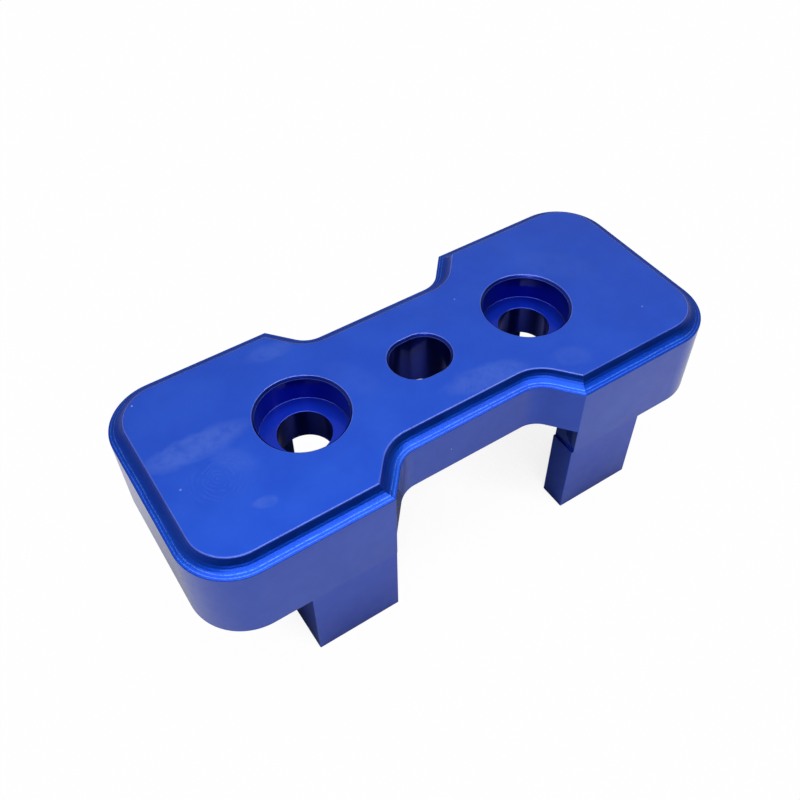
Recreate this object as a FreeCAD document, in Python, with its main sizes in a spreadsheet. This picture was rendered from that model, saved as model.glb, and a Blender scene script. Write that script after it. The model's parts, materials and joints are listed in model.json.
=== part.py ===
"""One-piece milled aluminium bridge block.

A thick plate with a narrow waist and two wide heads stands on four corner legs. Each head has a
counterbored bolt hole, the middle has one elongated hole, and a cove runs round the whole top face.
Millimetres. X runs along the length, Y across it and Z up. The origin is at the centre of the
footprint, on the plane that the four legs stand on.
"""

import FreeCAD, Part
import math
import os

import Sketcher

NODE = "bridge_block"

# Driving dimensions: alias, value, what it measures.
DIMENSIONS = [
    ("overall_length", 100.0, "over both heads, along X"),
    ("overall_height", 33.0, "from the feet to the top face"),
    ("head_width", 42.1, "across each head, along Y"),
    ("head_corner_radius", 9.6, "outer corners of the heads, seen from above"),
    ("head_gap", 36.8, "between the sharp inner corners of the two heads, along X"),
    ("head_depth", 16.8, "from the top face down to the underside of the heads"),
    ("waist_width", 29.7, "across the narrow middle, along Y"),
    ("neck_angle", 50.0, "degrees between the neck face and the long axis"),
    ("neck_radius", 5.0, "inside corner where the neck meets the waist"),
    ("neck_share", 0.9, "most of a neck face's length that its fillet may take up"),
    ("plate_thickness", 11.2, "of the waist, and of the heads inside their recesses"),
    ("leg_step", 0.25, "of each leg's inner face past its head's inner corner, towards the middle"),
    ("leg_width", 15.6, "of each leg, along X"),
    ("leg_setback", 0.05, "of each leg's outer face behind the side of its head"),
    ("leg_shift", -0.2, "of all the legs along X, since the block was turned over to mill them"),
    ("recess_radius", 16.6, "round recess up into each head, about the bolt hole"),
    ("cove_width", 2.65, "of the hollow round the top face, measured inwards"),
    ("cove_depth", 1.8, "of that hollow, measured down"),
    ("bolt_spacing", 44.9, "between the two bolt holes"),
    ("bolt_hole_diameter", 9.0, "clearance for an 8 mm screw"),
    ("counterbore_diameter", 15.2, "for the head of that screw"),
    ("counterbore_depth", 5.0, "from the top face"),
    ("slot_length", 10.7, "of the elongated middle hole, end to end along X"),
    ("slot_width", 9.0, "of the elongated middle hole"),
    ("mouth_chamfer", 0.45, "round the mouths of the counterbores and the middle hole"),
]
# Worked out from them: alias, formula, what it gives.
DERIVED = [
    ("neck_face", "=(head_width - waist_width) / 2 / sin(neck_angle * 1deg)",
     "length of each sloping neck face"),
    ("neck_fillet", "=min(neck_radius; neck_share * neck_face / tan(neck_angle * 0.5deg) - cove_width)",
     "neck_radius, or what a short neck face leaves room for inside the cove"),
]

# How far a cutting profile reaches past the face that it opens through.
CUT_MARGIN = 1.5

# How a constraint names the origin, and a curve's start, end and centre.
ROOT_POINT = (-1, 1)
START = 1
END = 2
CENTRE = 3

# The outline's pieces, in the order that they are drawn.
END_WALL, OUTER_CORNER, HEAD_SIDE, NECK, NECK_FILLET, WAIST = range(6)


def make_sheet(doc):
    """The driving dimensions as named cells."""
    sheet = doc.addObject("Spreadsheet::Sheet", "Sheet")
    for row, (alias, value, meaning) in enumerate(DIMENSIONS + DERIVED, start=1):
        sheet.set(f"A{row}", meaning)
        sheet.set(f"B{row}", str(value))
        sheet.setAlias(f"B{row}", alias)
    doc.recompute()
    return sheet


def sheet_of(body):
    """The sheet of the body's document. sheet.head_width reads the cell of that name."""
    return body.Document.getObject("Sheet")


def origin_plane(body, role):
    """One of the body's own origin planes, such as XY_Plane."""
    return next(item for item in body.Origin.OriginFeatures if item.Role == role)


def new_sketch(body, name, role="XY_Plane", height=None):
    """An empty sketch on an origin plane, raised by an expression along the plane's normal."""
    sketch = body.newObject("Sketcher::SketchObject", name)
    sketch.AttachmentSupport = [(origin_plane(body, role), "")]
    sketch.MapMode = "FlatFace"
    if height:
        sketch.setExpression("AttachmentOffset.Base.z", height)
    return sketch


def size_constraint(sketch, name, expression, kind, *places):
    """A dimension of a sketch, driven by the sheet. An angle is in degrees there."""
    value = sketch.evalExpression(expression)
    if kind == "Angle":
        value = math.radians(value)
        expression += " * 1 deg"
    index = sketch.addConstraint(Sketcher.Constraint(kind, *places, value))
    sketch.renameConstraint(index, name)
    sketch.setExpression(f"Constraints.{name}", expression)


def line(start, end):
    return Part.LineSegment(FreeCAD.Vector(*start, 0), FreeCAD.Vector(*end, 0))


def arc(centre, radius, start_angle, end_angle):
    circle = Part.Circle(FreeCAD.Vector(*centre, 0), FreeCAD.Vector(0, 0, 1), radius)
    return Part.ArcOfCircle(circle, math.radians(start_angle), math.radians(end_angle))


def join_loop(sketch, ends):
    """Makes each (geometry, end) meet the next one's start, all the way round."""
    for (first, first_end), (second, second_start) in ends:
        sketch.addConstraint(Sketcher.Constraint("Coincident", first, first_end, second, second_start))


def outline_quarter(sheet):
    """The quarter of the plate's outline at +X +Y, as geometry in its place.

    It runs from the middle of the end wall, round the head's outer corner, along the head's side
    to its sharp inner corner, down the neck face and through the neck fillet to the waist.
    """
    length = sheet.overall_length / 2
    head = sheet.head_width / 2
    waist = sheet.waist_width / 2
    corner = sheet.head_corner_radius
    inner = sheet.head_gap / 2
    fillet = sheet.neck_fillet
    angle = math.radians(sheet.neck_angle)
    bend = inner - (head - waist) / math.tan(angle)
    tangent = fillet * math.tan(angle / 2)
    fillet_centre = (bend - tangent, waist + fillet)
    fillet_end = (bend + tangent * math.cos(angle), waist + tangent * math.sin(angle))
    return [
        line((length, 0), (length, head - corner)),
        arc((length - corner, head - corner), corner, 0, 90),
        line((length - corner, head), (inner, head)),
        line((inner, head), fillet_end),
        arc(fillet_centre, fillet, 270, 270 + sheet.neck_angle),
        line((bend - tangent, waist), (0, waist)),
    ]


def constrain_head(sketch):
    """Keeps the end wall, the outer corner and the head's side square and smooth."""
    add = sketch.addConstraint
    add(Sketcher.Constraint("Vertical", END_WALL))
    add(Sketcher.Constraint("Horizontal", HEAD_SIDE))
    add(Sketcher.Constraint("Horizontal", OUTER_CORNER, START, OUTER_CORNER, CENTRE))
    add(Sketcher.Constraint("Vertical", OUTER_CORNER, CENTRE, OUTER_CORNER, END))
    join_loop(sketch, [
        ((END_WALL, END), (OUTER_CORNER, START)),
        ((OUTER_CORNER, END), (HEAD_SIDE, START)),
    ])
    size_constraint(sketch, "half_length", "Sheet.overall_length / 2",
                    "DistanceX", *ROOT_POINT, END_WALL, START)
    size_constraint(sketch, "half_head", "Sheet.head_width / 2",
                    "DistanceY", *ROOT_POINT, HEAD_SIDE, START)
    size_constraint(sketch, "half_gap", "Sheet.head_gap / 2",
                    "DistanceX", *ROOT_POINT, HEAD_SIDE, END)
    size_constraint(sketch, "corner", "Sheet.head_corner_radius", "Radius", OUTER_CORNER)


def constrain_outline(sketch):
    """Ties the outline's six pieces together and to the sheet."""
    constrain_head(sketch)
    add = sketch.addConstraint
    add(Sketcher.Constraint("PointOnObject", END_WALL, START, -1))
    add(Sketcher.Constraint("Coincident", HEAD_SIDE, END, NECK, START))
    add(Sketcher.Constraint("Tangent", NECK, END, NECK_FILLET, END))
    add(Sketcher.Constraint("Coincident", NECK_FILLET, START, WAIST, START))
    add(Sketcher.Constraint("Vertical", NECK_FILLET, CENTRE, NECK_FILLET, START))
    add(Sketcher.Constraint("Horizontal", WAIST))
    add(Sketcher.Constraint("PointOnObject", WAIST, END, -2))
    size_constraint(sketch, "half_waist", "Sheet.waist_width / 2",
                    "DistanceY", *ROOT_POINT, WAIST, END)
    size_constraint(sketch, "fillet", "Sheet.neck_fillet", "Radius", NECK_FILLET)
    size_constraint(sketch, "angle", "Sheet.neck_angle", "Angle", -1, START, NECK, END)


def plate_sketch(body):
    """A quarter of the plate, closed along the two middle planes."""
    sheet = sheet_of(body)
    sketch = new_sketch(body, "PlateQuarter", height="Sheet.overall_height - Sheet.plate_thickness")
    length = sheet.overall_length / 2
    waist = sheet.waist_width / 2
    sketch.addGeometry(outline_quarter(sheet) + [line((0, waist), (0, 0)), line((0, 0), (length, 0))], False)
    across, along = WAIST + 1, WAIST + 2
    constrain_outline(sketch)
    sketch.addConstraint(Sketcher.Constraint("Coincident", across, END, *ROOT_POINT))
    join_loop(sketch, [
        ((WAIST, END), (across, START)),
        ((across, END), (along, START)),
        ((along, END), (END_WALL, START)),
    ])
    return sketch


def skirt_sketch(body):
    """A quarter of the head's lower part: the end wall, outer corner and side carried down."""
    sheet = sheet_of(body)
    sketch = new_sketch(body, "SkirtQuarter", height="Sheet.overall_height - Sheet.head_depth")
    length = sheet.overall_length / 2
    head = sheet.head_width / 2
    inner = sheet.head_gap / 2
    outer_shape = outline_quarter(sheet)[:NECK]
    sketch.addGeometry(outer_shape + [line((inner, head), (inner, 0)), line((inner, 0), (length, 0))], False)
    inner_face, along = NECK, NECK + 1
    constrain_head(sketch)
    add = sketch.addConstraint
    add(Sketcher.Constraint("Vertical", inner_face))
    add(Sketcher.Constraint("PointOnObject", inner_face, END, -1))
    add(Sketcher.Constraint("Horizontal", along))
    join_loop(sketch, [
        ((HEAD_SIDE, END), (inner_face, START)),
        ((inner_face, END), (along, START)),
        ((along, END), (END_WALL, START)),
    ])
    return sketch


def leg_sketch(body):
    """The footprint that the front and back legs of one head are left from, once it is recessed."""
    sheet = sheet_of(body)
    sketch = new_sketch(body, "LegPair")
    sketch.setExpression("AttachmentOffset.Base.x", "Sheet.leg_shift")
    inner = sheet.head_gap / 2 - sheet.leg_step
    outer = inner + sheet.leg_width
    side = sheet.head_width / 2 - sheet.leg_setback
    corners = [(inner, -side), (outer, -side), (outer, side), (inner, side)]
    sketch.addGeometry([line(corners[k], corners[(k + 1) % 4]) for k in range(4)], False)
    join_loop(sketch, [((k, END), ((k + 1) % 4, START)) for k in range(4)])
    add = sketch.addConstraint
    add(Sketcher.Constraint("Horizontal", 0))
    add(Sketcher.Constraint("Vertical", 1))
    add(Sketcher.Constraint("Horizontal", 2))
    add(Sketcher.Constraint("Symmetric", 3, START, 3, END, -1))
    size_constraint(sketch, "inner", "Sheet.head_gap / 2 - Sheet.leg_step",
                    "DistanceX", *ROOT_POINT, 0, START)
    size_constraint(sketch, "width", "Sheet.leg_width", "DistanceX", 0, START, 0, END)
    size_constraint(sketch, "depth", "Sheet.head_width - 2 * Sheet.leg_setback",
                    "DistanceY", 1, START, 1, END)
    return sketch


def bolt_circles(body, name, diameter, height=None):
    """Two circles of one diameter, centred on the bolt holes."""
    sheet = sheet_of(body)
    sketch = new_sketch(body, name, height=height)
    for side, label in ((1, "right"), (-1, "left")):
        centre = FreeCAD.Vector(side * sheet.bolt_spacing / 2, 0, 0)
        circle = sketch.addGeometry(Part.Circle(centre, FreeCAD.Vector(0, 0, 1), 1.0), False)
        sketch.addConstraint(Sketcher.Constraint("PointOnObject", circle, CENTRE, -1))
        ends = (*ROOT_POINT, circle, CENTRE) if side > 0 else (circle, CENTRE, *ROOT_POINT)
        size_constraint(sketch, f"{label}_place", "Sheet.bolt_spacing / 2", "DistanceX", *ends)
        size_constraint(sketch, f"{label}_size", diameter, "Diameter", circle)
    return sketch


def slot_sketch(body):
    """The elongated middle hole: two half circles joined by two straight sides."""
    sheet = sheet_of(body)
    sketch = new_sketch(body, "MiddleSlot", height="Sheet.overall_height")
    radius = sheet.slot_width / 2
    reach = sheet.slot_length / 2 - radius
    right, left, upper, lower = range(4)
    sketch.addGeometry([
        arc((reach, 0), radius, 270, 450),
        arc((-reach, 0), radius, 90, 270),
        line((reach, radius), (-reach, radius)),
        line((-reach, -radius), (reach, -radius)),
    ], False)
    add = sketch.addConstraint
    add(Sketcher.Constraint("Tangent", right, END, upper, START))
    add(Sketcher.Constraint("Tangent", upper, END, left, START))
    add(Sketcher.Constraint("Tangent", left, END, lower, START))
    add(Sketcher.Constraint("Tangent", lower, END, right, START))
    add(Sketcher.Constraint("Horizontal", upper))
    add(Sketcher.Constraint("Horizontal", lower))
    add(Sketcher.Constraint("Symmetric", right, CENTRE, left, CENTRE, *ROOT_POINT))
    size_constraint(sketch, "end_radius", "Sheet.slot_width / 2", "Radius", right)
    size_constraint(sketch, "reach", "Sheet.slot_length - Sheet.slot_width",
                    "DistanceX", left, CENTRE, right, CENTRE)
    return sketch


def cove_profile(body):
    """The section that the cove cutter leaves, at the middle of the end wall.

    The hollow is an arc. It is level where it meets the wall and steep where it meets the top face,
    so its centre stands straight above its lowest point.
    """
    sheet = sheet_of(body)
    sketch = new_sketch(body, "CoveProfile", role="XZ_Plane")
    length = sheet.overall_length / 2
    top = sheet.overall_height
    width = sheet.cove_width
    depth = sheet.cove_depth
    radius = (width**2 + depth**2) / (2 * depth)
    steep_angle = 180 + math.degrees(math.atan2(radius - depth, width))
    hollow, floor, outside, above, inside = range(5)
    inner_edge = (length - width, top)
    low_edge = (length, top - depth)
    outer_low = (length + CUT_MARGIN, top - depth)
    outer_high = (length + CUT_MARGIN, top + CUT_MARGIN)
    inner_high = (length - width, top + CUT_MARGIN)
    sketch.addGeometry([
        arc((length, top - depth + radius), radius, steep_angle, 270),
        line(low_edge, outer_low),
        line(outer_low, outer_high),
        line(outer_high, inner_high),
        line(inner_high, inner_edge),
    ], False)
    join_loop(sketch, [
        ((hollow, END), (floor, START)),
        ((floor, END), (outside, START)),
        ((outside, END), (above, START)),
        ((above, END), (inside, START)),
        ((inside, END), (hollow, START)),
    ])
    add = sketch.addConstraint
    add(Sketcher.Constraint("Horizontal", floor))
    add(Sketcher.Constraint("Vertical", outside))
    add(Sketcher.Constraint("Horizontal", above))
    add(Sketcher.Constraint("Vertical", inside))
    add(Sketcher.Constraint("Vertical", hollow, CENTRE, hollow, END))
    size_constraint(sketch, "half_length", "Sheet.overall_length / 2",
                    "DistanceX", *ROOT_POINT, hollow, END)
    size_constraint(sketch, "low_edge", "Sheet.overall_height - Sheet.cove_depth",
                    "DistanceY", *ROOT_POINT, hollow, END)
    size_constraint(sketch, "cove_width", "Sheet.cove_width", "DistanceX", hollow, START, hollow, END)
    size_constraint(sketch, "cove_depth", "Sheet.cove_depth", "DistanceY", hollow, END, hollow, START)
    sketch.addConstraint(Sketcher.Constraint("DistanceX", floor, START, floor, END, CUT_MARGIN))
    sketch.addConstraint(Sketcher.Constraint("DistanceY", inside, END, inside, START, CUT_MARGIN))
    return sketch


def cove_path(body):
    """A quarter of the plate's outline at the height of the top face."""
    sketch = new_sketch(body, "CovePath", height="Sheet.overall_height")
    sketch.addGeometry(outline_quarter(sheet_of(body)), False)
    constrain_outline(sketch)
    return sketch


def pad(body, name, sketch, length):
    feature = body.newObject("PartDesign::Pad", name)
    feature.Profile = sketch
    feature.setExpression("Length", length)
    return feature


def pocket(body, name, sketch, length=None, upwards=False):
    """Cuts a sketch down into the block, or up into it, by a length or right through."""
    feature = body.newObject("PartDesign::Pocket", name)
    feature.Profile = sketch
    feature.Reversed = upwards
    if length:
        feature.setExpression("Length", length)
    else:
        feature.Type = "ThroughAll"
    return feature


def mirror_to_quarters(body, name, features):
    """Repeats the features of one quarter in the other three."""
    transform = body.newObject("PartDesign::MultiTransform", name)
    steps = []
    for role in ("XZ_Plane", "YZ_Plane"):
        step = body.newObject("PartDesign::Mirrored", f"{name}_{role[:2]}")
        step.MirrorPlane = (origin_plane(body, role), [""])
        steps.append(step)
    transform.Originals = features
    transform.Transformations = steps
    body.Tip = transform
    return transform


def mouth_edges(shape, sheet):
    """The edges where the counterbores and the middle hole open in the top face."""
    top = sheet.overall_height
    reach = sheet.bolt_spacing / 2
    names = []
    for index, edge in enumerate(shape.Edges, start=1):
        box = edge.BoundBox
        level = abs(box.ZMin - top) < 1e-6 and abs(box.ZMax - top) < 1e-6
        across = max(abs(box.YMin), abs(box.YMax))
        beside_hole = across <= sheet.counterbore_diameter / 2 + 1e-6
        within = max(abs(box.XMin), abs(box.XMax)) <= reach + sheet.counterbore_diameter / 2 + 1e-6
        if level and beside_hole and within:
            names.append(f"Edge{index}")
    return names


def make_block(doc):
    """The whole block, in the order that it could be milled."""
    body = doc.addObject("PartDesign::Body", NODE)
    body.Label = NODE

    plate = pad(body, "Plate", plate_sketch(body), "Sheet.plate_thickness")
    skirt = pad(body, "Skirt", skirt_sketch(body), "Sheet.head_depth - Sheet.plate_thickness")
    mirror_to_quarters(body, "FourQuarters", [plate, skirt])

    footprint = leg_sketch(body)
    legs = pad(body, "Legs", footprint, "Sheet.overall_height - Sheet.head_depth")
    both_legs = body.newObject("PartDesign::Mirrored", "BothLegPairs")
    both_legs.Originals = [legs]
    both_legs.MirrorPlane = (footprint, ["V_Axis"])
    body.Tip = both_legs

    pocket(body, "Recesses", bolt_circles(body, "RecessCircles", "2 * Sheet.recess_radius"),
           "Sheet.overall_height - Sheet.plate_thickness", upwards=True)
    top = "Sheet.overall_height"
    pocket(body, "Counterbores", bolt_circles(body, "CounterboreCircles", "Sheet.counterbore_diameter", top),
           "Sheet.counterbore_depth")
    pocket(body, "BoltHoles", bolt_circles(body, "BoltHoleCircles", "Sheet.bolt_hole_diameter", top))
    middle = pocket(body, "MiddleHole", slot_sketch(body))
    doc.recompute()

    mouths = body.newObject("PartDesign::Chamfer", "Mouths")
    mouths.Base = (middle, mouth_edges(middle.Shape, sheet_of(body)))
    mouths.setExpression("Size", "Sheet.mouth_chamfer")
    body.Tip = mouths

    cove = body.newObject("PartDesign::SubtractivePipe", "Cove")
    cove.Profile = cove_profile(body)
    cove.Spine = (cove_path(body), [])
    cove.Transition = "Right corner"
    mirror_to_quarters(body, "CoveAllRound", [cove])
    doc.recompute()
    return body


def check(doc, body):
    """Stops the script if a feature failed or the block isn't one sound solid."""
    for item in doc.Objects:
        if {"Invalid", "Error"} & set(item.State):
            raise RuntimeError(f"{item.Name} failed: {item.State}")
        if item.TypeId == "Sketcher::SketchObject" and not item.FullyConstrained:
            raise RuntimeError(f"{item.Name} isn't fully constrained")
    shape = body.Shape
    if shape.isNull() or not shape.isValid() or len(shape.Solids) != 1:
        raise RuntimeError(f"{body.Label} isn't one valid solid")
    before = None
    for feature in body.Group:
        if feature.TypeId == "PartDesign::Pocket":
            if feature.Shape.Volume >= before - 1:
                raise RuntimeError(f"{feature.Name} cuts nothing")
        if hasattr(feature, "Shape") and feature.Shape.Solids:
            before = feature.Shape.Volume


def main():
    doc = FreeCAD.newDocument("BridgeBlock")
    make_sheet(doc)
    body = make_block(doc)
    check(doc, body)
    os.makedirs("parts", exist_ok=True)
    body.Shape.exportStep(f"parts/{body.Label}.step")
    box = body.Shape.optimalBoundingBox()
    print(f"{body.Label}: {box.XLength:.2f} x {box.YLength:.2f} x {box.ZLength:.2f} mm, "
          f"volume {body.Shape.Volume / 1000:.2f} cm3, {len(body.Shape.Faces)} faces")


main()
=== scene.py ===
# %% [markdown]
# # A milled bridge block, anodised blue
# The real thing is cut from one bar of aluminium: a thick plate with a narrow waist and two wide
# heads, two counterbored bolt holes, one elongated hole, four legs and a cove round the top face.
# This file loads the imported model, which fixes every size, and then mills the same block again as a
# finer mesh, with the broken edges and tool passes that a machinist would see.

# %% Load the frame
import json
import math

import bmesh
import bpy
from mathutils import Matrix, Vector


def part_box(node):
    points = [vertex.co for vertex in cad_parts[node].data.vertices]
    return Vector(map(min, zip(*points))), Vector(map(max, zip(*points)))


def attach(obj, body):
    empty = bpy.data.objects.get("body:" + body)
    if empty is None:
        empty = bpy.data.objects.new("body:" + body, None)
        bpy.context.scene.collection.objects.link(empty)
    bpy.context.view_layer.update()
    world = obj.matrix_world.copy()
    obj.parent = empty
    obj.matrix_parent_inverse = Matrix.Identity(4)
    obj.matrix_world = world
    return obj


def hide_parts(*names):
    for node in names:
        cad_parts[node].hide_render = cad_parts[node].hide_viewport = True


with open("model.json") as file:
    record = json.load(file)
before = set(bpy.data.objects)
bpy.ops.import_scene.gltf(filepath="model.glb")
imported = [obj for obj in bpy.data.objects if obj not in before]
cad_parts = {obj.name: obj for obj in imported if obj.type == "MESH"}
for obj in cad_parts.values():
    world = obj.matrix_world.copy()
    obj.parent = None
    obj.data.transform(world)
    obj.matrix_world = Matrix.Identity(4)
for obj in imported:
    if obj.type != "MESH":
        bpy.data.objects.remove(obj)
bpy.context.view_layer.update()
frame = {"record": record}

# %% [markdown]
# ## Sizes
# A machinist works in millimetres, so the sizes here are millimetres too, and one helper turns a
# finished shape into the metres of the scene. The overall box and the holes are read from the packed
# model and its record. What the record doesn't name is written out once, here.

# %% Sizes of the block
NODE = "bridge_block"
MM = 0.001

low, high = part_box(NODE)
mounts = {mount["name"]: mount for mount in frame["record"]["mounts"]}
LENGTH = (high[0] - low[0]) / MM
HEAD_WIDTH = (high[1] - low[1]) / MM
HEIGHT = (high[2] - low[2]) / MM
BOLT_PITCH = mounts["bolt_holes"]["dims"]["spacing_x_mm"]
BOLT_HOLE_RADIUS = mounts["bolt_holes"]["dims"]["hole_r_mm"]
COUNTERBORE_RADIUS = mounts["left_counterbore"]["dims"]["r_mm"]

WAIST_WIDTH = 29.7
HEAD_GAP = 36.8
HEAD_DEPTH = 16.8
HEAD_CORNER = 9.6
NECK_ANGLE = math.radians(50)
NECK_RADIUS = 5.0
PLATE_THICKNESS = 11.2
COUNTERBORE_DEPTH = 5.0
MOUTH_CHAMFER = 0.45
SLOT_LENGTH = 10.7
SLOT_WIDTH = 9.0
COVE_WIDTH = 2.65
COVE_DEPTH = 1.8
LEG_STEP = 0.25
LEG_WIDTH = 15.6
LEG_SETBACK = 0.05
LEG_SHIFT = -0.2
RECESS_RADIUS = 16.6

HEAD_UNDERSIDE = HEIGHT - HEAD_DEPTH
PLATE_UNDERSIDE = HEIGHT - PLATE_THICKNESS
RIM = HEIGHT - COVE_DEPTH
COVE_RADIUS = (COVE_WIDTH ** 2 + COVE_DEPTH ** 2) / (2 * COVE_DEPTH)
print(f"block {LENGTH:.1f} x {HEAD_WIDTH:.1f} x {HEIGHT:.1f} mm, bolt pitch {BOLT_PITCH:.1f} mm")

# %% [markdown]
# ## Outlines
# Every wall of the block follows one outline, seen from above. The cove and the broken edges follow
# the same outline set inwards by some distance, so one function gives the outline at any inset. Its
# straight runs need no points of their own. Its corners are arcs, and they always have the same
# number of points, so two outlines can be joined point for point.

# %% An arc
def arc(centre, radius, start, end, steps):
    """Points on an arc, both ends included. Angles in degrees."""
    turns = [math.radians(start + (end - start) * k / steps) for k in range(steps + 1)]
    return [(centre[0] + radius * math.cos(a), centre[1] + radius * math.sin(a)) for a in turns]


print("a quarter turn in two steps:", [tuple(round(v, 2) for v in p) for p in arc((0, 0), 1, 0, 90, 2)])

# %% The block's outline at any inset
CORNER_STEPS = 28
NECK_STEPS = 4
FILLET_STEPS = 16
EDGE_BREAK = 0.16
SHARPEST = 0.05


def block_outline(inset):
    """The outline, anticlockwise from the right end, moved inwards by inset."""
    end = LENGTH / 2
    side = HEAD_WIDTH / 2
    waist = WAIST_WIDTH / 2
    tilt = math.degrees(NECK_ANGLE)
    corner = arc((end - HEAD_CORNER, side - HEAD_CORNER), HEAD_CORNER - inset, 0, 90, CORNER_STEPS)

    half_turn = math.tan(NECK_ANGLE / 2)
    neck_top = HEAD_GAP / 2 + inset * half_turn
    break_radius = max(EDGE_BREAK - inset, SHARPEST)
    break_start = neck_top + break_radius * half_turn
    neck = arc((break_start, side - inset - break_radius), break_radius, 90, 90 + tilt, NECK_STEPS)

    fillet_radius = NECK_RADIUS + inset
    bend = HEAD_GAP / 2 - (side - waist) / math.tan(NECK_ANGLE) + inset * half_turn
    fillet_centre = (bend - fillet_radius * half_turn, waist - inset + fillet_radius)
    fillet = arc(fillet_centre, fillet_radius, 270 + tilt, 270, FILLET_STEPS)

    quarter = corner + neck + fillet
    left = [(-x, y) for x, y in reversed(quarter)]
    lower_left = [(-x, -y) for x, y in quarter]
    lower_right = [(x, -y) for x, y in reversed(quarter)]
    return quarter + left + lower_left + lower_right


print("points round the outline:", len(block_outline(0)))

# %% [markdown]
# ## Profiles and lofts
# A profile is the section of a wall: how far in it lies at each height. Where two faces meet, a real
# edge is never quite sharp, so a profile's corner can be given a break, and a short curve takes its
# place. A loft then joins an outline at each step of the profile into a closed solid.

# %% A profile with broken edges
BREAK_STEPS = 4


def eased(profile):
    """The (inset, height) points of a profile whose corners (inset, height, break) are curved."""
    points = []
    for k, (x, z, ease) in enumerate(profile):
        if not ease:
            points.append((x, z))
            continue
        corner = Vector((x, z))
        before, after = Vector(profile[k - 1][:2]), Vector(profile[k + 1][:2])
        start = corner + (before - corner).normalized() * ease
        end = corner + (after - corner).normalized() * ease
        for step in range(BREAK_STEPS + 1):
            t = step / BREAK_STEPS
            points.append(tuple(start * (1 - t) ** 2 + corner * 2 * t * (1 - t) + end * t ** 2))
    return points


print("a broken corner:", len(eased([(0, 0, 0), (1, 0, 0.2), (1, 1, 0)])), "points in place of 3")


# %% A loft
def loft(name, rings):
    """A closed solid through rings of (x, y, z) points, from the lowest ring to the highest."""
    build = bmesh.new()
    rows = [[build.verts.new(point) for point in ring] for ring in rings]
    for lower, upper in zip(rows, rows[1:]):
        for k in range(len(lower)):
            build.faces.new((lower[k - 1], lower[k], upper[k], upper[k - 1]))
    build.faces.new(rows[0][::-1])
    build.faces.new(rows[-1])
    mesh = bpy.data.meshes.new(name)
    build.to_mesh(mesh)
    build.free()
    return mesh


# %% [markdown]
# ## The wall and its cove
# The cove is a hollow that a ball-nosed cutter leaves, pass beside pass. Each pass leaves a shallow
# groove, and a low ridge stands between two passes. Such ridges could be bump in the material, but
# the cove is where the light is sharpest, so they are made in the mesh, from one formula.

# %% The cove's section, as the cutter's passes leave it
PASSES = 7
PASS_STEPS = 4
RIDGE_HEIGHT = 0.02


def cove_profile():
    """The cove's (inset, height) points from the rim up to the top face."""
    sweep = math.asin(COVE_WIDTH / COVE_RADIUS)
    points = []
    for k in range(1, PASSES * PASS_STEPS):
        angle = sweep * k / (PASSES * PASS_STEPS)
        across = (k % PASS_STEPS) / PASS_STEPS
        reach = COVE_RADIUS - RIDGE_HEIGHT * (2 * across - 1) ** 2
        points.append((reach * math.sin(angle), RIM + COVE_RADIUS - reach * math.cos(angle), 0))
    return points


print("points up the cove:", len(cove_profile()))

# %% The whole wall
# The flat ends of a loft start this far in from its wall.
LID = 0.5
# The cove's own points keep clear of the broken edges at its two ends.
cove_start = EDGE_BREAK * 1.4
cove_end = COVE_WIDTH - EDGE_BREAK * 0.6

wall_profile = eased([
    (LID, HEAD_UNDERSIDE, 0),
    (0, HEAD_UNDERSIDE, EDGE_BREAK),
    (0, RIM, EDGE_BREAK),
    *[point for point in cove_profile() if cove_start < point[0] < cove_end],
    (COVE_WIDTH, HEIGHT, EDGE_BREAK),
    (COVE_WIDTH + LID, HEIGHT, 0),
])
print("steps up the wall:", len(wall_profile))

# %% [markdown]
# ## The bar, the legs and the cutters
# The block could be modelled as one mesh by hand, but it is easier to trust when it is made as the
# real one was: a piece of stock and the tools that cut it. Each tool here is a closed solid in the
# shape of what it removes, with its chamfer, its tight inner corner and its broken rim already on
# it. Each one carries the finish that it leaves behind, and a cut face takes over that finish.

# %% Finishes, by name
FINISHES = ["milled_top", "milled_cove", "milled_walls", "milled_legs", "broken_edges", "bored_holes",
            "counterbore_floor", "milled_underside"]
finish = {name: bpy.data.materials.new(name) for name in FINISHES}


def give_finish(mesh, name_for):
    """Puts on each face the finish that name_for(face) gives, and prints how many faces got each."""
    for face in mesh.polygons:
        material = finish[name_for(face)]
        if material.name not in mesh.materials:
            mesh.materials.append(material)
        face.material_index = mesh.materials.find(material.name)
    counts = [0] * len(mesh.materials)
    for face in mesh.polygons:
        counts[face.material_index] += 1
    print(f"{mesh.name}:", {material.name: n for material, n in zip(mesh.materials, counts)})
    return mesh


print("finishes:", len(finish))

# %% The stock: the whole plate with its cove, down to the underside of the heads
# A face this close to a level belongs to it. A face looks up or down when its normal's Z is past these.
AT_LEVEL = 0.01
LOOKS_UP = 0.99
LOOKS_DOWN = -0.9


def plate_finish(face):
    """The name of the finish on a face of the plate, from its height and the way that it looks."""
    height = face.center.z
    if face.normal.z < LOOKS_DOWN:
        return "milled_underside"
    if face.normal.z > LOOKS_UP and height > HEIGHT - AT_LEVEL:
        return "milled_top"
    # The top's broken edge gets a paler blue: partly thinner dye, partly a painted highlight along the
    # edge.
    if height > HEIGHT - EDGE_BREAK:
        return "broken_edges"
    if height > RIM - EDGE_BREAK / 4:
        return "milled_cove"
    return "milled_walls"


plate = loft("plate", [[(x, y, z) for x, y in block_outline(inset)] for inset, z in wall_profile])
give_finish(plate, plate_finish)

# %% [markdown]
# ## The legs
# Each head stands on a front leg and a back leg. On the real block they are what is left of one
# bar, once the round recess under the head has gone through its middle. So one bar is made for each
# head here too, and the recess cutter parts it into two legs.

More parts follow.
